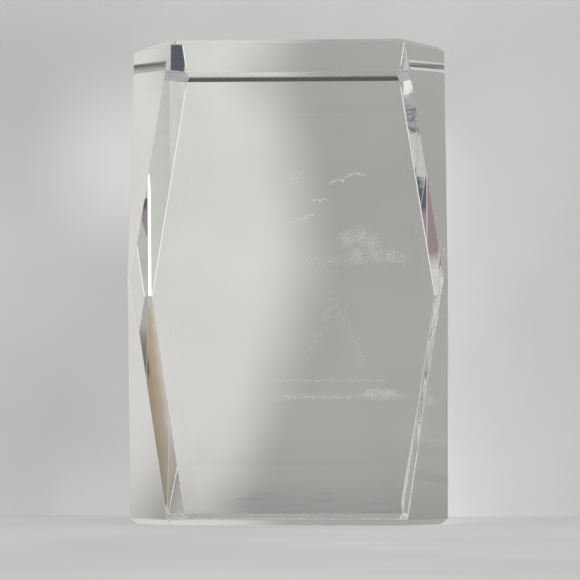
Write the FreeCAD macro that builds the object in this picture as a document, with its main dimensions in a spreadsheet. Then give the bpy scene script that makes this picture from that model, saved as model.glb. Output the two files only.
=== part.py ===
import FreeCAD, Part
import Sketcher

import os

# Crystal award: an upright block of clear optical glass with a laser-engraved landscape inside.
# Millimetres. +Z is up, the front face looks along -Y, and the origin is the middle of the
# rectangle that the block stands on.

doc = FreeCAD.newDocument("crystal_award")

# Driving dimensions: alias, value, meaning.
DIMENSIONS = [
    ("block_width", 80, "left side face to right side face"),
    ("block_depth", 72, "front face to back face"),
    ("block_height", 122, "bottom face to top face"),
    ("end_cut", 10.5, "leg of the corner cut, at the top and bottom face"),
    ("middle_cut", 1, "leg of the corner cut at half height, where its two planes meet"),
    ("bevel_rise", 1.4, "leg of the polished end bevel along the upright faces"),
    ("bevel_inset", 1.75, "leg of the same bevel across the top and bottom face"),
    ("mark_radius", 0.3, "half the thickness of an engraved line"),
    ("large_span", 9.4, "wing tip to wing tip, large bird"),
    ("middle_span", 4, "wing tip to wing tip, middle bird"),
    ("small_span", 5.6, "wing tip to wing tip, small bird"),
    ("star_span", 4.8, "tip to tip of the rayed star"),
    ("crown_lobe", 3.1, "radius of the largest lobe of the tree crown"),
    ("band_length", 19, "length of the flat mist band"),
    ("right_slope", 19.5, "length of the mountain's right slope"),
    ("left_slope", 15.5, "length of the mountain's left slope"),
    ("far_shore_length", 30, "length of the thin upper ground line"),
    ("near_shore_length", 33.5, "length of the broad lower ground line"),
    ("shore_swelling", 9.4, "length of the swelling on the lower ground line"),
]


def make_sheet():
    """Writes the driving dimensions into a spreadsheet, one row each."""
    cells = doc.addObject("Spreadsheet::Sheet", "Sizes")
    for row, (alias, value, meaning) in enumerate(DIMENSIONS, start=1):
        cells.set(f"A{row}", meaning)
        cells.set(f"B{row}", str(value))
        cells.setAlias(f"B{row}", alias)
    doc.recompute()
    return cells


sizes = make_sheet()


def vector(x, y, z):
    return FreeCAD.Vector(x, y, z)


# ------------------------------------------------------------------------- the glass block


def origin_feature(body, role):
    """The body's own origin plane or axis with this role."""
    return next(feature for feature in body.Origin.OriginFeatures if feature.Role == role)


def add_sketch(body, name, plane):
    """A sketch that lies on one of the body's origin planes."""
    sketch = body.newObject("Sketcher::SketchObject", name)
    sketch.AttachmentSupport = [(origin_feature(body, plane), "")]
    sketch.MapMode = "FlatFace"
    return sketch


def add_outline(sketch, corners):
    """Adds a closed outline through the corners and returns its lines, in the same order."""
    lines = []
    for start, end in zip(corners, corners[1:] + corners[:1]):
        segment = Part.LineSegment(vector(*start, 0), vector(*end, 0))
        lines.append(sketch.addGeometry(segment, False))
    for line, following in zip(lines, lines[1:] + lines[:1]):
        sketch.addConstraint(Sketcher.Constraint("Coincident", line, 2, following, 1))
    return lines


def drive(sketch, name, constraint, expression):
    """Adds a named size to the sketch and binds it to the spreadsheet."""
    index = sketch.addConstraint(constraint)
    sketch.renameConstraint(index, name)
    sketch.setExpression(f"Constraints.{name}", expression)


def add_blank(body):
    """The sawn blank: full width, depth and height, with sharp corners."""
    half_width = sizes.block_width / 2
    half_depth = sizes.block_depth / 2
    corners = [
        (-half_width, -half_depth),
        (half_width, -half_depth),
        (half_width, half_depth),
        (-half_width, half_depth),
    ]
    sketch = add_sketch(body, "BlankOutline", "XY_Plane")
    front, right, back, left = add_outline(sketch, corners)
    for kind, line in (("Horizontal", front), ("Vertical", right), ("Horizontal", back), ("Vertical", left)):
        sketch.addConstraint(Sketcher.Constraint(kind, line))
    sketch.addConstraint(Sketcher.Constraint("Symmetric", front, 1, back, 1, -1, 1))
    drive(sketch, "width", Sketcher.Constraint("DistanceX", front, 1, front, 2, 1), "Sizes.block_width")
    drive(sketch, "depth", Sketcher.Constraint("DistanceY", right, 1, right, 2, 1), "Sizes.block_depth")
    blank = body.newObject("PartDesign::Pad", "Blank")
    blank.Profile = sketch
    blank.setExpression("Length", "Sizes.block_height")
    body.Tip = blank
    doc.recompute()
    return blank


def add_pocket(body, name, sketch):
    """Cuts the sketch's outlines through the whole block, both ways from its plane."""
    pocket = body.newObject("PartDesign::Pocket", name)
    pocket.Profile = sketch
    pocket.Type = "ThroughAll"
    pocket.Midplane = True
    body.Tip = pocket
    doc.recompute()
    return pocket


def add_corner_cut(body, name, corner_turn, depth_side):
    """One right-hand upright corner's cut: two planes, widest at the ends, that meet half way up.

    The outline stands in the diagonal plane through the corner's edge, and its x runs outward from
    that edge. It takes the end bevels of the two planes too. depth_side is 1 in front, -1 behind.
    """
    height = sizes.block_height
    outside = sizes.bevel_rise
    end_leg = sizes.end_cut * 0.5 ** 0.5
    middle_leg = sizes.middle_cut * 0.5 ** 0.5
    bevel_leg = end_leg - (end_leg - middle_leg) * 2 * sizes.bevel_rise / height
    corners = [
        (outside, 0),
        (-end_leg - sizes.bevel_inset, 0),
        (-bevel_leg, sizes.bevel_rise),
        (-middle_leg, height / 2),
        (-bevel_leg, height - sizes.bevel_rise),
        (-end_leg - sizes.bevel_inset, height),
        (outside, height),
    ]
    sketch = add_sketch(body, f"{name}Outline", "XZ_Plane")
    turned = FreeCAD.Rotation(vector(0, 1, 0), corner_turn)
    sketch.AttachmentOffset = FreeCAD.Placement(vector(0, 0, 0), turned)
    sketch.setExpression("AttachmentOffset.Base.x", "Sizes.block_width / 2")
    sketch.setExpression("AttachmentOffset.Base.z", f"{depth_side} * Sizes.block_depth / 2")
    bottom, low_bevel, low_plane, high_plane, high_bevel, top, outer = add_outline(sketch, corners)
    for kind, line in (("Horizontal", bottom), ("Horizontal", top), ("Vertical", outer)):
        sketch.addConstraint(Sketcher.Constraint(kind, line))
    sketch.addConstraint(Sketcher.Constraint("PointOnObject", bottom, 1, -1))
    for low, high in ((bottom, top), (low_bevel, high_bevel), (low_plane, high_plane)):
        sketch.addConstraint(Sketcher.Constraint("Equal", low, high))
    taper = "(Sizes.end_cut - Sizes.middle_cut) * 2 * Sizes.bevel_rise / Sizes.block_height"
    driven = [
        ("outside", "DistanceX", (-1, 1, bottom, 1), "Sizes.bevel_rise"),
        ("end_inset", "DistanceX", (bottom, 2, -1, 1), "Sizes.end_cut / sqrt(2) + Sizes.bevel_inset"),
        ("bevel_inset", "DistanceX", (low_plane, 1, -1, 1), f"(Sizes.end_cut - {taper}) / sqrt(2)"),
        ("bevel_rise", "DistanceY", (-1, 1, low_plane, 1), "Sizes.bevel_rise"),
        ("middle_inset", "DistanceX", (low_plane, 2, -1, 1), "Sizes.middle_cut / sqrt(2)"),
        ("half_height", "DistanceY", (-1, 1, low_plane, 2), "Sizes.block_height / 2"),
        ("full_height", "DistanceY", (outer, 2, outer, 1), "Sizes.block_height"),
    ]
    for size_name, kind, ends, expression in driven:
        drive(sketch, size_name, Sketcher.Constraint(kind, *ends, 1), expression)
    return add_pocket(body, name, sketch)


def add_bevel_triangle(sketch, name, half_width, half_rule, side, end):
    """The section of one end bevel: side is -1 or 1, and end is 0 at the bottom and 1 at the top."""
    edge_x = side * half_width
    edge_z = end * sizes.block_height
    rise = sizes.bevel_rise if end == 0 else -sizes.bevel_rise
    corners = [
        (edge_x, edge_z),
        (edge_x, edge_z + rise),
        (edge_x - side * sizes.bevel_inset, edge_z),
    ]
    upright, slope, level = add_outline(sketch, corners)
    sketch.addConstraint(Sketcher.Constraint("Vertical", upright))
    sketch.addConstraint(Sketcher.Constraint("Horizontal", level))
    across = (-1, 1, upright, 1) if side == 1 else (upright, 1, -1, 1)
    inset = (level, 1, level, 2) if side == 1 else (level, 2, level, 1)
    risen = (upright, 1, upright, 2) if end == 0 else (upright, 2, upright, 1)
    drive(sketch, f"{name}_edge", Sketcher.Constraint("DistanceX", *across, 1), half_rule)
    drive(sketch, f"{name}_inset", Sketcher.Constraint("DistanceX", *inset, 1), "Sizes.bevel_inset")
    drive(sketch, f"{name}_rise", Sketcher.Constraint("DistanceY", *risen, 1), "Sizes.bevel_rise")
    if end == 0:
        sketch.addConstraint(Sketcher.Constraint("PointOnObject", upright, 1, -1))
    else:
        height = Sketcher.Constraint("DistanceY", -1, 1, upright, 1, 1)
        drive(sketch, f"{name}_height", height, "Sizes.block_height")


def add_end_bevels(body, name, plane, width_alias):
    """The end bevels of two opposite faces, cut across the block by one outline each."""
    sketch = add_sketch(body, f"{name}Outline", plane)
    half_width = getattr(sizes, width_alias) / 2
    half_rule = f"Sizes.{width_alias} / 2"
    for side_name, side in (("near", -1), ("far", 1)):
        for end_name, end in (("bottom", 0), ("top", 1)):
            add_bevel_triangle(sketch, f"{side_name}_{end_name}", half_width, half_rule, side, end)
    return add_pocket(body, name, sketch)


def mirror_cuts(body, cuts):
    """Repeats the right-hand corner cuts on the left."""
    mirrored = body.newObject("PartDesign::Mirrored", "LeftCuts")
    mirrored.Originals = cuts
    mirrored.MirrorPlane = (origin_feature(body, "YZ_Plane"), [""])
    body.Tip = mirrored
    doc.recompute()
    return mirrored


def check_removed(before, after):
    """Stops if a cutting feature took nothing away."""
    if after.Shape.Volume >= before.Shape.Volume:
        raise RuntimeError(f"{after.Name} removed no glass")


def make_block():
    """The glass block as it is worked: sawn, cut at the four corners, then bevelled at both ends."""
    body = doc.addObject("PartDesign::Body", "crystal_block")
    blank = add_blank(body)
    front_cut = add_corner_cut(body, "FrontCut", -45, 1)
    check_removed(blank, front_cut)
    back_cut = add_corner_cut(body, "BackCut", 45, -1)
    check_removed(front_cut, back_cut)
    left_cuts = mirror_cuts(body, [front_cut, back_cut])
    check_removed(back_cut, left_cuts)
    side_bevels = add_end_bevels(body, "SideBevels", "XZ_Plane", "block_width")
    check_removed(left_cuts, side_bevels)
    face_bevels = add_end_bevels(body, "FaceBevels", "YZ_Plane", "block_depth")
    check_removed(side_bevels, face_bevels)
    return body


# --------------------------------------------------------------------- the engraved picture

# The picture stands upright near the middle of the block's depth. Its places are X and Z there.
UPRIGHT = FreeCAD.Rotation(vector(1, 0, 0), 90)
SEAM_BEHIND = FreeCAD.Rotation(vector(0, 0, 1), 90)
WING_SWEEP = 84


def about_z(angle):
    return FreeCAD.Rotation(vector(0, 0, 1), angle)


def about_y(angle):
    return FreeCAD.Rotation(vector(0, 1, 0), angle)


def add_primitive(kind, name, bound, place, turn=FreeCAD.Rotation()):
    """A Part primitive whose sizes are bound to the spreadsheet, at its place in the block."""
    shape = doc.addObject(f"Part::{kind}", name)
    for size, expression in bound.items():
        shape.setExpression(size, expression)
    shape.Placement = FreeCAD.Placement(vector(*place), turn)
    return shape


def fuse(name, shapes):
    """One engraved mark, joined from its primitives."""
    joined = doc.addObject("Part::MultiFuse", name)
    joined.Shapes = shapes
    return joined


def add_wing(name, span, share, start, roll):
    """An arched wing: the arc of a ring over a chord that runs from start, turned up by roll."""
    half_sweep = WING_SWEEP / 2
    radius_rule = f"Sizes.{span} * {share} / (2 * sin({half_sweep} deg))"
    wing = add_primitive("Torus", name, {"Radius1": radius_rule, "Radius2": "Sizes.mark_radius"}, (0, 0, 0))
    wing.Angle3 = WING_SWEEP
    doc.recompute()
    radius = wing.Radius1.Value
    chord = getattr(sizes, span) * share
    drop = (radius ** 2 - (chord / 2) ** 2) ** 0.5
    on_chord = FreeCAD.Placement(vector(chord / 2, -drop, 0), about_z(90 - half_sweep))
    in_block = FreeCAD.Placement(start, UPRIGHT.multiply(about_z(roll)))
    wing.Placement = in_block.multiply(on_chord)
    return wing


def make_bird(name, span, place, left_share, roll):
    """A gull seen from the front. Its two wings meet at the body, which is at place."""
    body_point = vector(*place)
    along_wings = about_y(-roll).multVec(vector(1, 0, 0))
    left_tip = body_point - along_wings * (getattr(sizes, span) * left_share)
    left = add_wing(f"{name}_left_wing", span, left_share, left_tip, roll)
    right = add_wing(f"{name}_right_wing", span, 1 - left_share, body_point, roll)
    trunk_size = {"Radius": "Sizes.mark_radius * 1.6"}
    trunk = add_primitive("Sphere", f"{name}_trunk", trunk_size, place, SEAM_BEHIND)
    return fuse(name, [left, right, trunk])


def make_star(name, place, rays):
    """Rays round a small core, each tapering to its tip."""
    core = add_primitive("Sphere", f"{name}_core", {"Radius": "Sizes.mark_radius * 2.4"}, place)
    ray_sizes = {
        "Radius1": "Sizes.mark_radius",
        "Radius2": "Sizes.mark_radius / 2",
        "Height": "Sizes.star_span / 2",
    }
    shapes = [core]
    for ray in range(rays):
        turn = about_y(360 * ray / rays)
        shapes.append(add_primitive("Cone", f"{name}_ray_{ray + 1}", ray_sizes, place, turn))
    return fuse(name, shapes)


def make_crown(name, lobes):
    """A leafy crown of overlapping round lobes. Each is a place and its share of the largest."""
    shapes = []
    for number, (place, share) in enumerate(lobes, start=1):
        bound = {"Radius": f"Sizes.crown_lobe * {share}"}
        shapes.append(add_primitive("Sphere", f"{name}_lobe_{number}", bound, place))
    return fuse(name, shapes)


def add_streak(name, place, length, height_share, depth_share):
    """A long flat ellipsoid along X. Its height and depth are shares of its length."""
    bound = {
        "Radius1": f"Sizes.{length} / 2 * {height_share}",
        "Radius2": f"Sizes.{length} / 2 * {depth_share}",
        "Radius3": f"Sizes.{length} / 2",
    }
    return add_primitive("Ellipsoid", name, bound, place, SEAM_BEHIND)


def make_mountain(name, peak):
    """Two slopes that thicken downward from the peak, the right one longer and less steep."""
    summit = add_primitive("Sphere", f"{name}_summit", {"Radius": "Sizes.mark_radius * 2"}, peak)
    shapes = [summit]
    for side, angle in (("right", 155), ("left", 202)):
        bound = {
            "Radius1": "Sizes.mark_radius",
            "Radius2": "Sizes.mark_radius * 2.5",
            "Height": f"Sizes.{side}_slope",
        }
        shapes.append(add_primitive("Cone", f"{name}_{side}_slope", bound, peak, about_y(angle)))
    return fuse(name, shapes)


def make_far_shore(name, left_end):
    """A thin straight line of ground."""
    bound = {"Radius": "Sizes.mark_radius", "Height": "Sizes.far_shore_length"}
    return add_primitive("Cylinder", name, bound, left_end, about_y(90))


def make_near_shore(name, left_end, swelling):
    """The broad ground line, with a flat swelling in its right half."""
    bound = {"Radius": "Sizes.mark_radius * 2", "Height": "Sizes.near_shore_length"}
    line = add_primitive("Cylinder", f"{name}_line", bound, left_end, about_y(90))
    swell = add_streak(f"{name}_swelling", swelling, "shore_swelling", 0.32, 0.8)
    return fuse(name, [line, swell])


CROWN_LOBES = [
    ((13.4, 1, 70.4), 0.62),
    ((15.2, -1, 73.4), 0.85),
    ((18.3, 1.5, 74.2), 0.95),
    ((21.3, -1.5, 72.2), 0.8),
    ((17.6, 0.5, 69.8), 0.92),
    ((22.6, 1, 69.4), 0.78),
    ((26.2, -0.5, 69.3), 0.72),
    ((29.4, 0.5, 68.3), 0.5),
]


def make_picture():
    """Every engraved mark, each in its own node."""
    return [
        make_bird("engraved_large_bird", "large_span", (13.8, -6, 88.5), 0.36, 14),
        make_bird("engraved_middle_bird", "middle_span", (7.9, -3, 83.6), 0.46, 0),
        make_bird("engraved_small_bird", "small_span", (3.9, 3, 79.4), 0.56, 24),
        make_star("engraved_star", (1.5, 6, 90.5), 8),
        make_crown("engraved_tree_crown", CROWN_LOBES),
        add_streak("engraved_mist_band", (11.5, -7.5, 67.4), "band_length", 0.13, 0.3),
        make_mountain("engraved_mountain", (11.3, 4, 58.1)),
        make_far_shore("engraved_far_shore", (-4.2, 2, 36.6)),
        make_near_shore("engraved_near_shore", (-3.9, -4, 32.3), (23.4, -4, 32.9)),
    ]


# -------------------------------------------------------------------------- check and export


def check_document():
    """Stops on any object that failed to recompute, or that has no valid shape."""
    for item in doc.Objects:
        if {"Invalid", "Error"} & set(item.State):
            raise RuntimeError(f"{item.Label} did not recompute: {item.State}")
        shape = getattr(item, "Shape", None)
        if shape is not None and item.isDerivedFrom("Part::Feature"):
            if shape.isNull() or not shape.isValid():
                raise RuntimeError(f"{item.Label} has no valid shape")


def export_parts(parts):
    """Writes each sub-part's solid to the file that its label names."""
    os.makedirs("parts", exist_ok=True)
    for part in parts:
        part.Label = part.Name
        part.Shape.exportStep(f"parts/{part.Label}.step")
        print(f"{part.Label}: {len(part.Shape.Solids)} solid, {part.Shape.Volume:.2f} mm3")


award = [make_block(), *make_picture()]
doc.recompute()
check_document()
export_parts(award)
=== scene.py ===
import math
import random

import bmesh
import bpy
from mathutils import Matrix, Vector


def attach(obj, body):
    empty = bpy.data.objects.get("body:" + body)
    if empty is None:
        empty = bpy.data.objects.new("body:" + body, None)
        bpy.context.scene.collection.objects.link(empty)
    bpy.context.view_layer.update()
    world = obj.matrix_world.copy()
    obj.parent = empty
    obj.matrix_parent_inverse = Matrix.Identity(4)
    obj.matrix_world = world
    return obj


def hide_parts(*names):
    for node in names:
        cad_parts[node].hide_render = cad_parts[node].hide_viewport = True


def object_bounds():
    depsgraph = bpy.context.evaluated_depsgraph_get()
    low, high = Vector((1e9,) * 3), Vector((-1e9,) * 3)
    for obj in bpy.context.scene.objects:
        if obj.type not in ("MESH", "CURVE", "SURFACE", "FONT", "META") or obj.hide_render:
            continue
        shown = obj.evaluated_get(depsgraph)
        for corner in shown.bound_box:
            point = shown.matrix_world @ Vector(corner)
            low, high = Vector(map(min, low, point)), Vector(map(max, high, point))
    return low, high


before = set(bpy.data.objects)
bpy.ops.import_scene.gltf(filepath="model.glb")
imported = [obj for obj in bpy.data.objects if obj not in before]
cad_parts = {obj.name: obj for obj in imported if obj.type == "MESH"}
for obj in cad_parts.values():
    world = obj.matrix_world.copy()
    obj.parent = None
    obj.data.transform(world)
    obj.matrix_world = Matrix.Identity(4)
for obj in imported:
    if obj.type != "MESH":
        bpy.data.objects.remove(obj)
cad_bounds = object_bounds()
MM = 0.001

# ---------------------------------------------------------------------------- helpers


def new_material(name):
    """An empty node material and its node tree."""
    material = bpy.data.materials.new(name)
    material.use_nodes = True
    material.node_tree.nodes.clear()
    return material, material.node_tree


def add_node(tree, kind, inputs=None, **settings):
    """A node with its settings, and its inputs set to values or linked from sockets."""
    node = tree.nodes.new(kind)
    for name, value in settings.items():
        setattr(node, name, value)
    for name, value in (inputs or {}).items():
        if isinstance(value, bpy.types.NodeSocket):
            tree.links.new(value, node.inputs[name])
        else:
            node.inputs[name].default_value = value
    return node


def finish_material(tree, shader):
    add_node(tree, "ShaderNodeOutputMaterial", {"Surface": shader.outputs[0]})


def link_object(name, mesh, *materials):
    item = bpy.data.objects.new(name, mesh)
    bpy.context.scene.collection.objects.link(item)
    for material in materials:
        mesh.materials.append(material)
    return item


# ---------------------------------------------------------------------------- glass block

GLASS_IOR = 1.517
GLASS_TINT = (0.985, 0.99, 0.988, 1)
GLASS_CLEARNESS = 0.985
GROUND_TINT = (0.98, 0.985, 0.98, 1)
GROUND_ROUGHNESS = 0.3
EDGE_WIDTH = 0.12 * MM
EDGE_ANGLE = math.radians(5)
MERGE_DISTANCE = 0.002 * MM
FLAT_ANGLE = math.radians(0.5)
# A face of the back corners' end bevels leans at least this far along all three axes.
CORNER_SLOPE = 0.3


def glass_material(name, tint, roughness, clearness):
    """Glass that lets through its share of clearness. The rest is a trace of haze."""
    material, tree = new_material(name)
    glass = add_node(
        tree,
        "ShaderNodeBsdfPrincipled",
        {"Base Color": tint, "Roughness": roughness, "IOR": GLASS_IOR, "Transmission Weight": clearness},
    )
    finish_material(tree, glass)
    return material


def make_block():
    """The CAD block with its flat faces joined up. Its edges are finely ground, so they spread the light."""
    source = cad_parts["crystal_block"].data
    work = bmesh.new()
    work.from_mesh(source)
    bmesh.ops.remove_doubles(work, verts=work.verts, dist=MERGE_DISTANCE)
    bmesh.ops.dissolve_limit(work, angle_limit=FLAT_ANGLE, verts=work.verts, edges=work.edges)
    mesh = bpy.data.meshes.new("glass_block")
    work.to_mesh(mesh)
    work.free()
    for polygon in mesh.polygons:
        polygon.use_smooth = False
        slope = polygon.normal
        if min(abs(slope.x), slope.y, abs(slope.z)) > CORNER_SLOPE:
            polygon.material_index = 1
    polished = glass_material("polished_optical_glass", GLASS_TINT, 0, GLASS_CLEARNESS)
    ground = glass_material("ground_glass_edge", GROUND_TINT, GROUND_ROUGHNESS, 1)
    block = link_object("glass_block", mesh, polished, ground)
    block.visible_shadow = False
    edges = block.modifiers.new("worked_edges", "BEVEL")
    edges.width = EDGE_WIDTH
    edges.segments = 2
    edges.limit_method = "ANGLE"
    edges.angle_limit = EDGE_ANGLE
    edges.material = 1
    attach(block, "root")
    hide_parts("crystal_block")


make_block()

# ---------------------------------------------------------------------------- engraved points

POINT_SIZES = (0.045 * MM, 0.09 * MM)
UNEVENNESS = (0.7, 1.3)
GRAIN_SCALE = 900
DULL_FRACTURE = (0.7, 0.71, 0.72, 1)
BRIGHT_FRACTURE = (0.98, 0.98, 0.97, 1)
FRACTURE_ROUGHNESS = 0.9
# Against the glass around it, as the fracture is a thin gap.
FRACTURE_IOR = 1.1
# A faint painted glow on the engraving, in place of the light that its fractures catch.
PAINTED_GLOW_COLOR = (1, 1, 0.98, 1)
FRACTURE_PAINTED_GLOW = 0.17
# For each mark, its number of points, and how far in millimetres nearly all of them stray each way.
MARKS = {
    "engraved_large_bird": (340, 0.1),
    "engraved_middle_bird": (160, 0.1),
    "engraved_small_bird": (180, 0.12),
    "engraved_star": (320, 0.5),
    "engraved_tree_crown": (2900, 1.2),
    "engraved_mist_band": (420, 1.1),
    "engraved_mountain": (480, 1.8),
    "engraved_far_shore": (340, 0.3),
    "engraved_near_shore": (2100, 0.7),
}
# The faces of a point: its corners are at + and - along each axis in turn.
OCTAHEDRON = [(0, 2, 4), (2, 1, 4), (1, 3, 4), (3, 0, 4), (2, 0, 5), (1, 2, 5), (3, 1, 5), (0, 3, 5)]


def engraving_material():
    """Tiny fractures in the glass, which scatter light: white, with some brighter than others, and a faint
    painted glow that stands in for the light they catch.
    """
    material, tree = new_material("laser_fractured_glass")
    place = add_node(tree, "ShaderNodeTexCoord")
    grain = add_node(tree, "ShaderNodeTexNoise", {"Vector": place.outputs["Object"], "Scale": GRAIN_SCALE})
    tone = add_node(tree, "ShaderNodeValToRGB", {"Fac": grain.outputs["Fac"]})
    tone.color_ramp.elements[0].color = DULL_FRACTURE
    tone.color_ramp.elements[1].color = BRIGHT_FRACTURE
    fracture = add_node(
        tree,
        "ShaderNodeBsdfPrincipled",
        {
            "Base Color": tone.outputs["Color"],
            "Roughness": FRACTURE_ROUGHNESS,
            "IOR": FRACTURE_IOR,
            "Emission Color": PAINTED_GLOW_COLOR,
            "Emission Strength": FRACTURE_PAINTED_GLOW,
        },
    )
    finish_material(tree, fracture)
    return material


def inner_points(mesh, count, rng):
    """Random points from the mesh's surface inwards, by up to half its thinnest side."""
    corners = [vertex.co for vertex in mesh.vertices]
    reach = min(max(c[axis] for c in corners) - min(c[axis] for c in corners) for axis in range(3)) / 2
    mesh.calc_loop_triangles()
    triangles = [t for t in mesh.loop_triangles if t.area > 0]
    chosen = rng.choices(triangles, weights=[t.area for t in triangles], k=count)
    points = []
    for triangle in chosen:
        a, b, c = (mesh.vertices[index].co for index in triangle.vertices)
        u, v = rng.random(), rng.random()
        if u + v > 1:
            u, v = 1 - u, 1 - v
        points.append(a + (b - a) * u + (c - a) * v - triangle.normal * reach * rng.random() ** 2)
    return points


def engrave(node, count, stray, material, seed):
    """The mark as the laser leaves it: a cloud of tiny fractures where the CAD solid is."""
    rng = random.Random(seed)
    corners, faces = [], []
    for point in inner_points(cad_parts[node].data, count, rng):
        size = rng.uniform(*POINT_SIZES)
        point += Vector([rng.gauss(0, 1) for axis in range(3)]) * stray * MM / 2
        first = len(corners)
        for axis in range(3):
            for sign in (1, -1):
                corner = point.copy()
                corner[axis] += sign * size * rng.uniform(*UNEVENNESS)
                corners.append(corner)
        faces += [tuple(first + index for index in face) for face in OCTAHEDRON]
    mesh = bpy.data.meshes.new(node + "_points")
    mesh.from_pydata(corners, [], faces)
    cloud = link_object(node + "_points", mesh, material)
    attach(cloud, "root")
    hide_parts(node)


fractured = engraving_material()
for seed, (node, (count, stray)) in enumerate(MARKS.items()):
    engrave(node, count, stray, fractured, seed)

# ---------------------------------------------------------------------------- stage

BACK_Y = cad_bounds[1].y
RIGHT_X = cad_bounds[1].x
PAPER_GAP = 0.1 * MM
CARD_GAP = 0.02 * MM
X, Y, Z = (1, 0, 0), (0, 1, 0), (0, 0, 1)


def plain_plane(name, centre, across, up, size, material):
    """A flat stage plane: across and up are its unit directions, size its width and height."""
    mesh = bpy.data.meshes.new(name)
    half_across = Vector(across) * size[0] / 2
    half_up = Vector(up) * size[1] / 2
    middle = Vector(centre)
    corners = [
        middle - half_across - half_up,
        middle + half_across - half_up,
        middle + half_across + half_up,
        middle - half_across + half_up,
    ]
    mesh.from_pydata(corners, [], [(0, 1, 2, 3)])
    plane = link_object(name, mesh, material)
    return plane


def only_for_glass(card):
    card.visible_camera = False
    card.visible_diffuse = False
    card.visible_shadow = False


def glass_card(name, centre, across, up, size, material):
    """A card that only the glass sees, by reflection and refraction."""
    only_for_glass(plain_plane(name, centre, across, up, size, material))


def position(tree):
    """The place in metres, split into its three axes, and whole."""
    place = add_node(tree, "ShaderNodeTexCoord").outputs["Object"]
    return add_node(tree, "ShaderNodeSeparateXYZ", {"Vector": place}), place


def math_node(tree, operation, first, second):
    return add_node(tree, "ShaderNodeMath", {0: first, 1: second}, operation=operation).outputs[0]


def soft_step(tree, value, start, end, low=0, high=1):
    """From low to high as the value goes from start to end, with soft ends."""
    inputs = {"Value": value, "From Min": start, "From Max": end, "To Min": low, "To Max": high}
    return add_node(tree, "ShaderNodeMapRange", inputs, interpolation_type="SMOOTHSTEP").outputs["Result"]


def mix_color(tree, factor, first, second, blend="MIX"):
    inputs = {0: factor, 6: first, 7: second}
    node = add_node(tree, "ShaderNodeMix", inputs, data_type="RGBA", blend_type=blend)
    return node.outputs[2]


def blotches(tree, place, scale, detail, spread, low, high):
    """Random blotches, as a value from low to high. A smaller spread gives them harder edges."""
    inputs = {"Vector": place, "Scale": scale, "Detail": detail}
    cloud = add_node(tree, "ShaderNodeTexNoise", inputs).outputs["Fac"]
    return soft_step(tree, cloud, 0.5 - spread, 0.5 + spread, low, high)


def finish_glow(tree, color, strength=1):
    glow = add_node(tree, "ShaderNodeEmission", {"Color": color, "Strength": strength})
    finish_material(tree, glow)


def ramp_color(tree, value, stops):
    """A colour ramp along a value: stops are (place in millimetres, colour)."""
    low, high = stops[0][0], stops[-1][0]
    limits = {"Value": value, "From Min": low * MM, "From Max": high * MM}
    along = add_node(tree, "ShaderNodeMapRange", limits)
    tone = add_node(tree, "ShaderNodeValToRGB", {"Fac": along.outputs["Result"]})
    ramp = tone.color_ramp
    while len(ramp.elements) < len(stops):
        ramp.elements.new(0.5)
    for element, (at, color) in zip(ramp.elements, stops):
        element.position = (at - low) / (high - low)
        element.color = (*color, 1)
    return tone.outputs["Color"]


# The paper around the block: pale and matt, with a faint cloudy mottle and soft patches of painted light and
# shade.

BACKDROP_TONE = 0.79
FLOOR_TONE = 0.745
PAPER_WARMTH = (1, 0.994, 0.986, 1)
MOTTLE_SCALE = 8
MOTTLE_CHANGE = 0.07
STAGE_WIDTH = 6
FLOOR_DROP = 0.05 * MM
BACKDROP_HEIGHT = 3
BACKDROP_MIDDLE = 1
# Painted light and shade: soft lighter and darker places on the backdrop: centre, radius and change of tone.
LIGHT_AND_SHADE_PATCHES = [
    ((-0.051, BACK_Y, 0.103), 0.034, 0.2),
    ((-0.085, BACK_Y, 0.02), 0.05, -0.12),
    ((-0.075, BACK_Y, 0.128), 0.055, -0.11),
    ((0.01, BACK_Y, 0.15), 0.05, 0.05),
]


def patch(tree, vector, centre, radius):
    """1 at the centre, falling softly to 0 at the radius."""
    away = add_node(tree, "ShaderNodeVectorMath", {0: vector, 1: centre}, operation="DISTANCE")
    return soft_step(tree, away.outputs["Value"], 0, radius, 1, 0)


def paper_material(name, paper_tone):
    """Seen from behind it is clear, so that the back of the block can be looked at."""
    material, tree = new_material(name)
    _, place = position(tree)
    low, high = paper_tone - MOTTLE_CHANGE, paper_tone + MOTTLE_CHANGE
    tone = blotches(tree, place, MOTTLE_SCALE, 3, 0.25, low, high)
    # Patches of painted light and shade.
    for centre, radius, change in LIGHT_AND_SHADE_PATCHES:
        painted_spot = math_node(tree, "MULTIPLY", patch(tree, place, centre, radius), change)
        tone = math_node(tree, "ADD", tone, painted_spot)
    color = mix_color(tree, 1, tone, PAPER_WARMTH, "MULTIPLY")
    paper = add_node(tree, "ShaderNodeBsdfDiffuse", {"Color": color})
    side = add_node(tree, "ShaderNodeNewGeometry")
    clear = add_node(tree, "ShaderNodeBsdfTransparent")
    either = add_node(
        tree,
        "ShaderNodeMixShader",
        {0: side.outputs["Backfacing"], 1: paper.outputs[0], 2: clear.outputs[0]},
    )
    finish_material(tree, either)
    return material


floor_paper = paper_material("floor_paper", FLOOR_TONE)
plain_plane("floor", (0, 0, -FLOOR_DROP), X, Y, (STAGE_WIDTH, STAGE_WIDTH), floor_paper)
backdrop_paper = paper_material("backdrop_paper", BACKDROP_TONE)
backdrop_centre = (0, BACK_Y + PAPER_GAP, BACKDROP_MIDDLE)
plain_plane("backdrop", backdrop_centre, X, Z, (STAGE_WIDTH, BACKDROP_HEIGHT), backdrop_paper)

# Glowing cards with the painted light and shade that the block leaves on the paper: it gathers the light on
# its left and leaves its right dimmer.

LIT_PAPER = (0.66, 0.652, 0.632, 1)
DIM_PAPER = (0.365, 0.355, 0.343, 1)
# Painted shade under the block.
PAINTED_SHUT_IN_SHADE = (0.045, 0.046, 0.047, 1)
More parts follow.
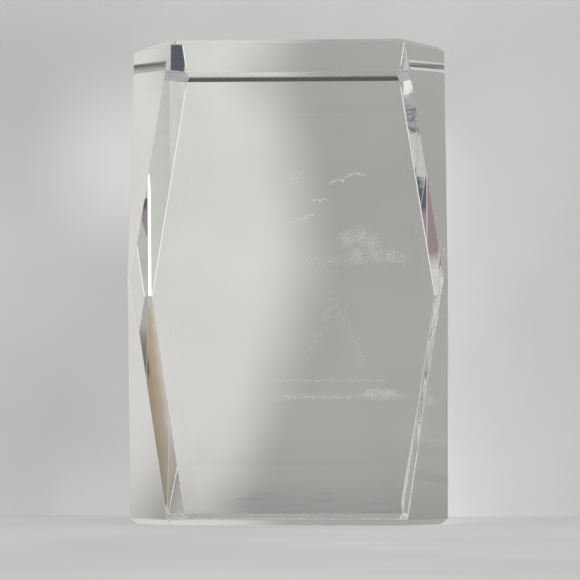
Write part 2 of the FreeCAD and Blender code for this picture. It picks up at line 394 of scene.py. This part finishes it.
# The border between the two: its half width, how far it wanders, and its bow to the left with height.
BORDER_REACH = 11 * MM
BORDER_WANDER = 3 * MM
BORDER_SCALE = 18
BOW = 4.1
BOW_HEIGHT = 71 * MM
# A faint cloudiness over both.
CLOUD = (0.95, 1.04)
CLOUD_SCALE = 30
# Painted shade at the foot of the paper, where it grows dimmer.
PAINTED_FOOT_SPAN = (-6 * MM, 26 * MM)
FOOT_SHADE = 0.72


def painted_block_light(tree, axes, place, bow):
    """The painted light and shade at the block: a soft border between the two tones, which bows with height.
    """
    wander = blotches(tree, place, BORDER_SCALE, 2, 0.2, -BORDER_WANDER, BORDER_WANDER)
    across = math_node(tree, "ADD", axes.outputs["X"], wander)
    if bow:
        height = math_node(tree, "SUBTRACT", axes.outputs["Z"], BOW_HEIGHT)
        lean = math_node(tree, "MULTIPLY", math_node(tree, "MULTIPLY", height, height), BOW)
        across = math_node(tree, "ADD", across, lean)
    border = soft_step(tree, across, -BORDER_REACH, BORDER_REACH)
    color = mix_color(tree, border, LIT_PAPER, DIM_PAPER)
    cloud = blotches(tree, place, CLOUD_SCALE, 4, 0.2, *CLOUD)
    return mix_color(tree, 1, color, cloud, "MULTIPLY")


def back_card_material():
    material, tree = new_material("painted_light_behind_block")
    axes, place = position(tree)
    color = painted_block_light(tree, axes, place, True)
    painted_foot_shade = soft_step(tree, axes.outputs["Z"], *PAINTED_FOOT_SPAN, FOOT_SHADE, 1)
    finish_glow(tree, mix_color(tree, 1, color, painted_foot_shade, "MULTIPLY"))
    return material


def under_card_material():
    """Painted light, as the block lets it through, with two strips of painted shade where little light gets
    under.
    """
    material, tree = new_material("painted_light_under_block")
    axes, place = position(tree)
    color = painted_block_light(tree, axes, place, False)
    lit, dark = (0, 0, 0), (1, 1, 1)
    stops = [
        (-36, lit),
        (-3.5, lit),
        (-2.6, dark),
        (-1, dark),
        (0.5, lit),
        (21.2, lit),
        (22, dark),
        (27, dark),
        (27.5, lit),
    ]
    shade = ramp_color(tree, axes.outputs["Y"], stops)
    finish_glow(tree, mix_color(tree, shade, color, PAINTED_SHUT_IN_SHADE))
    return material


# Glowing cards with painted light and shade, which only the glass sees.
glass_card("painted_light_back_card", (0, BACK_Y + CARD_GAP, 0.07), X, Z, (0.12, 0.14), back_card_material())
glass_card("painted_light_under_card", (0, 0, -CARD_GAP), X, Y, (0.08, 0.072), under_card_material())

# Painted highlights: thin glowing lines that lie along the edges of the back.

END_CUT = 10.5 * MM
WAIST_CUT = 1 * MM
WAIST = cad_bounds[1].z / 2
HIGHLIGHT_WHITE = (1, 1, 0.98)


def corner_cut(height):
    """How far the corner facets cut in at a height."""
    return WAIST_CUT + (END_CUT - WAIST_CUT) * abs(height - WAIST) / WAIST


def strip_card(name, rungs, color, strength):
    """A glowing strip that only the glass sees, between pairs of points, for a painted highlight."""
    mesh = bpy.data.meshes.new(name)
    faces = [(2 * i, 2 * i + 1, 2 * i + 3, 2 * i + 2) for i in range(len(rungs) - 1)]
    mesh.from_pydata([point for rung in rungs for point in rung], [], faces)
    material, tree = new_material(name)
    finish_glow(tree, (*color, 1), strength)
    strip = link_object(name, mesh, material)
    only_for_glass(strip)


def facet_glint():
    """A painted highlight: a bright glowing strip on the edge of the back left upper facet, which tapers to
    nothing.
    """
    rungs = []
    for height, width in ((61, 1.4), (91, 1.2), (99.5, 0.1)):
        edge = Vector((-RIGHT_X - CARD_GAP, BACK_Y - corner_cut(height * MM) + CARD_GAP, height * MM))
        rungs.append((edge, edge + Vector((1, 1, 0)).normalized() * width * MM))
    strip_card("facet_glint", rungs, HIGHLIGHT_WHITE, 2.4)


def back_edge_highlight(name, side, widths, color, strength):
    """A painted highlight: a thin glowing line along one edge of the back face. Heights and widths are in
    millimetres.
    """
    rungs = []
    for height, width in widths:
        edge = Vector((side * (RIGHT_X - corner_cut(height * MM)), BACK_Y + CARD_GAP / 2, height * MM))
        rungs.append((edge, edge - Vector((side * width * MM, 0, 0))))
    strip_card(name, rungs, color, strength)


facet_glint()
back_edge_highlight("left_upper_highlight", -1, ((61, 0.2), (119, 0.2)), HIGHLIGHT_WHITE, 1)
back_edge_highlight("right_upper_highlight", 1, ((61, 0.2), (119, 0.2)), HIGHLIGHT_WHITE, 0.95)
lower_widths = ((61, 0.15), (30, 0.3), (5, 0.9), (1.5, 0.1))
back_edge_highlight("right_lower_highlight", 1, lower_widths, (1, 0.99, 0.96), 0.56)

# Glowing cards with painted reflections of the surroundings that the facets pick up: dark and mauve low in
# front, tan and pale at the sides.

NAVY = (0.045, 0.055, 0.075)
MAUVE = (0.27, 0.2, 0.225)
PALE = (0.54, 0.535, 0.51)
STREAK = (0.12, 0.13, 0.16)
GREY = (0.36, 0.37, 0.385)
PAPER_GLOW = (0.64, 0.635, 0.625)
SHINE = (0.85, 0.85, 0.82)


def ramp_material(name, axis, stops):
    """A glow whose colour changes along one axis, for a painted reflection."""
    material, tree = new_material(name)
    axes, _ = position(tree)
    finish_glow(tree, ramp_color(tree, axes.outputs[axis], stops))
    return material


LOW_SLANT = 1.14


def low_card_material():
    """Painted reflection: navy and mauve in bands that lie slantwise on the floor."""
    material, tree = new_material("low_front_painted_reflection")
    axes, _ = position(tree)
    across = math_node(tree, "MULTIPLY", axes.outputs["X"], LOW_SLANT)
    slant = math_node(tree, "ADD", axes.outputs["Y"], across)
    stops = [(-300, NAVY), (-244, NAVY), (-234, MAUVE), (-190, MAUVE), (-170, NAVY), (-60, NAVY)]
    finish_glow(tree, ramp_color(tree, slant, stops))
    return material


STREAK_SCALE = 150
STREAK_WANDER = 5 * MM
RIGHT_FLOOR_STOPS = [
    (95, NAVY),
    (109, NAVY),
    (115, PALE),
    (141, PALE),
    (145, STREAK),
    (150, GREY),
    (153, STREAK),
    (158, GREY),
    (168, GREY),
    (174, SHINE),
]


def right_floor_material():
    """Painted reflection: bands of navy, pale and grey, with ragged edges, and a painted highlight at the
    far end.
    """
    material, tree = new_material("right_floor_painted_reflection")
    axes, place = position(tree)
    streaks = blotches(tree, place, STREAK_SCALE, 3, 0.15, -STREAK_WANDER, STREAK_WANDER)
    along = math_node(tree, "ADD", axes.outputs["X"], streaks)
    finish_glow(tree, ramp_color(tree, along, RIGHT_FLOOR_STOPS))
    return material


MAUVE_Y = 24.5 * MM
MAUVE_EDGE = (2.5 * MM, 4.5 * MM)


def left_card_material():
    """Painted reflection: mauve, with edges that fade into the tone of the paper."""
    material, tree = new_material("left_mauve_painted_reflection")
    axes, _ = position(tree)
    stops = [(40, PALE), (45, MAUVE), (74, MAUVE), (81, PAPER_GLOW)]
    color = ramp_color(tree, axes.outputs["Z"], stops)
    off_middle = math_node(tree, "SUBTRACT", axes.outputs["Y"], MAUVE_Y)
    edge = soft_step(tree, math_node(tree, "ABSOLUTE", off_middle, 0), *MAUVE_EDGE)
    finish_glow(tree, mix_color(tree, edge, color, (*PAPER_GLOW, 1)))
    return material


TAN_X = RIGHT_X + 0.4
TAN_GRAIN_SCALE = 110
TAN_WANDER = 0.6 * MM
TAN_STOPS = [
    (-12, (0.27, 0.225, 0.16)),
    (-8.5, (0.32, 0.265, 0.185)),
    (-6, (0.38, 0.32, 0.22)),
    (-3.8, (0.42, 0.375, 0.28)),
    (-1.5, PALE),
]
BROWN_STOPS = [
    (155, (0.17, 0.17, 0.16)),
    (166, (0.1, 0.105, 0.11)),
    (173, (0.13, 0.13, 0.13)),
    (180, (0.24, 0.19, 0.18)),
    (188, (0.4, 0.37, 0.35)),
]
TAN_DARK = (0.06, 0.06, 0.065, 1)
PLAIN = (1, 1, 1, 1)
TAN_WARMTH = (0.99, 0.885, 0.84, 1)


def tan_card_material():
    """Painted reflection: tan, dimmer below and warmer above, with a dark patch, and a brown part in front
    of it.
    """
    material, tree = new_material("right_tan_painted_reflection")
    axes, place = position(tree)
    depth, height = axes.outputs["Y"], axes.outputs["Z"]
    grain = blotches(tree, place, TAN_GRAIN_SCALE, 3, 0.2, -TAN_WANDER, TAN_WANDER)
    tan = ramp_color(tree, math_node(tree, "ADD", depth, grain), TAN_STOPS)
    tan = mix_color(tree, 1, tan, soft_step(tree, height, 0.1, 0.19, 0.8, 1.06), "MULTIPLY")
    warmth = mix_color(tree, soft_step(tree, height, 0.14, 0.17), PLAIN, TAN_WARMTH)
    tan = mix_color(tree, 1, tan, warmth, "MULTIPLY")
    side = soft_step(tree, depth, -0.0085, -0.0072, 1, 0)
    above = soft_step(tree, height, 0.173, 0.181)
    below = soft_step(tree, height, 0.188, 0.197, 1, 0)
    dark = math_node(tree, "MULTIPLY", side, math_node(tree, "MULTIPLY", above, below))
    tan = mix_color(tree, dark, tan, TAN_DARK)
    brown = ramp_color(tree, height, BROWN_STOPS)
    finish_glow(tree, mix_color(tree, soft_step(tree, depth, -0.02, -0.016), brown, tan))
    return material


FRONT_TAN_STOPS = [(300, (0.25, 0.225, 0.18)), (345, (0.4, 0.375, 0.32)), (368, (0.5, 0.485, 0.45))]
LEFT_TAN_STOPS = [(23, (0.4, 0.4, 0.36)), (28, (0.31, 0.285, 0.235))]
LOW = 1 * MM

low_dark = low_card_material()
glass_card("low_card_near", (0.024, -0.1035, LOW), X, Y, (0.009, 0.018), low_dark)
glass_card("low_card_far_right", (0.0055, -0.231, LOW), X, Y, (0.008, 0.06), low_dark)
glass_card("low_card_far_left", (-0.0215, -0.205, LOW), X, Y, (0.01, 0.112), low_dark)
glass_card("right_floor_painted_reflection", (0.139, -0.0215, LOW), X, Y, (0.088, 0.026), right_floor_material())
glass_card("left_mauve_painted_reflection", (-0.2, MAUVE_Y, 0.06), Y, Z, (0.009, 0.044), left_card_material())
glass_card("right_tan_painted_reflection", (TAN_X, -0.0175, 0.16), Y, Z, (0.035, 0.11), tan_card_material())
front_tan = ramp_material("front_tan_painted_reflection", "Z", FRONT_TAN_STOPS)
glass_card("front_tan_painted_reflection", (-0.0515, -0.6, 0.34), X, Z, (0.012, 0.085), front_tan)
left_tan = ramp_material("left_tan_painted_reflection", "Y", LEFT_TAN_STOPS)
glass_card("left_tan_painted_reflection", (-0.22, 0.026, 0.2225), Y, Z, (0.012, 0.03), left_tan)

# ---------------------------------------------------------------------------- light and camera

SKY_COLOR = (1, 0.995, 0.985, 1)
SKY_STRENGTH = 0.47
OVERHEAD_STRENGTH = 0.36
# How steeply upward the dimmer patch overhead starts, as the upward part of a unit direction.
OVERHEAD_EDGE = (0.925, 0.955)


def make_world():
    """Even studio light all round, with a dimmer patch straight overhead."""
    world = bpy.data.worlds.new("studio")
    bpy.context.scene.world = world
    world.use_nodes = True
    tree = world.node_tree
    tree.nodes.clear()
    place = add_node(tree, "ShaderNodeTexCoord")
    axes = add_node(tree, "ShaderNodeSeparateXYZ", {"Vector": place.outputs["Generated"]})
    strength = soft_step(tree, axes.outputs["Z"], *OVERHEAD_EDGE, SKY_STRENGTH, OVERHEAD_STRENGTH)
    sky = add_node(tree, "ShaderNodeBackground", {"Color": SKY_COLOR, "Strength": strength})
    add_node(tree, "ShaderNodeOutputWorld", {"Surface": sky.outputs[0]})


def add_aimed(name, data, place, aim):
    """An object for a lamp or a camera, which looks from a place at a point."""
    item = bpy.data.objects.new(name, data)
    bpy.context.scene.collection.objects.link(item)
    item.location = place
    item.rotation_mode = "QUATERNION"
    item.rotation_quaternion = (aim - place).to_track_quat("-Z", "Y")
    return item


KEY_PLACE = Vector((-0.9, -1.4, 1.38))
KEY_AIM = Vector((0, 0, 0.06))
KEY_SIZE = 0.8
KEY_POWER = 17


def make_key():
    """A square softbox, as far forward as it is high, so that floor and backdrop are lit alike."""
    lamp = bpy.data.lights.new("key_softbox", "AREA")
    lamp.shape = "SQUARE"
    lamp.size = KEY_SIZE
    lamp.energy = KEY_POWER
    key = add_aimed("key_softbox", lamp, KEY_PLACE, KEY_AIM)
    key.visible_transmission = False


CAMERA_PLACE = Vector((15.5, -477.2, 18.1)) * MM
CAMERA_AIM = Vector((0.7, -36, 58.2)) * MM
CAMERA_LENS = 110.6
CAMERA_SENSOR = 36
CLIP_START = 0.01


def make_camera():
    lens = bpy.data.cameras.new("camera")
    lens.lens = CAMERA_LENS
    lens.sensor_width = CAMERA_SENSOR
    lens.clip_start = CLIP_START
    bpy.context.scene.camera = add_aimed("camera", lens, CAMERA_PLACE, CAMERA_AIM)


make_world()
make_key()
make_camera()

# Light passes through many faces before it leaves the block.
LIGHT_BOUNCES = 48
CLEAR_BOUNCES = 24

scene = bpy.context.scene
scene.view_settings.view_transform = "Standard"
scene.cycles.max_bounces = LIGHT_BOUNCES
scene.cycles.transmission_bounces = LIGHT_BOUNCES
scene.cycles.glossy_bounces = LIGHT_BOUNCES
scene.cycles.transparent_max_bounces = CLEAR_BOUNCES
scene.cycles.caustics_reflective = False
